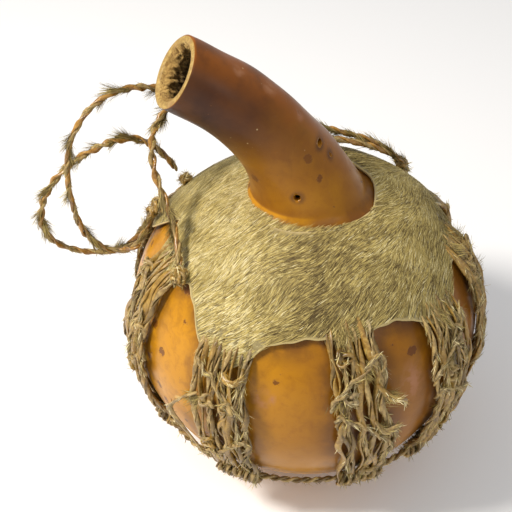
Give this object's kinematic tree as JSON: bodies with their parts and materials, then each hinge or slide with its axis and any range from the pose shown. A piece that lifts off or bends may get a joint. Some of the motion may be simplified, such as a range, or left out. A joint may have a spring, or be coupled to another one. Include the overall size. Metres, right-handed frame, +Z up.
{
  "type": "gourd vessel with hide cover",
  "caption": "Hollow round gourd with a curved open neck, a haired hide cover over its shoulder, twisted rawhide lacing down to a ring, and a looped haired rawhide strap.",
  "frame": {"origin": "centre of the flattened base that the gourd stands on", "axes": "+Z up, -Y towards the front, the neck leans towards -X and a little towards -Y"},
  "size_m": [0.2956, 0.2392, 0.3165],
  "materials": {
    "gourd_shell": "waxed gourd rind, glossy",
    "haired_hide": "dried hide with short straight hair on",
    "rawhide_lacing": "twisted dried rawhide, partly haired",
    "rawhide_strap": "two-ply twisted rawhide with hair left on"
  },
  "bodies": {
    "root": {"base_ring": "rawhide_lacing", "binding_back_left": "rawhide_lacing", "binding_front": "rawhide_lacing", "binding_front_left": "rawhide_lacing", "binding_front_right": "rawhide_lacing", "binding_rear": "rawhide_lacing", "binding_rear_left": "rawhide_lacing", "binding_rear_right": "rawhide_lacing", "binding_side_left": "rawhide_lacing", "binding_side_right": "rawhide_lacing", "gourd_bowl": "gourd_shell", "gourd_neck": "gourd_shell", "hide_cover": "haired_hide", "lacing_back_left": "rawhide_lacing", "lacing_front": "rawhide_lacing", "lacing_front_left": "rawhide_lacing", "lacing_front_right": "rawhide_lacing", "lacing_rear": "rawhide_lacing", "lacing_rear_left": "rawhide_lacing", "lacing_rear_right": "rawhide_lacing", "lacing_side_left": "rawhide_lacing", "lacing_side_right": "rawhide_lacing", "strap_knot_front": "rawhide_strap", "strap_knot_left": "rawhide_strap", "strap_knot_left_upper": "rawhide_strap", "strap_knot_right": "rawhide_strap", "strap_thong_long": "rawhide_strap", "strap_thong_loop": "rawhide_strap", "strap_thong_short": "rawhide_strap"}
  },
  "joints": []
}
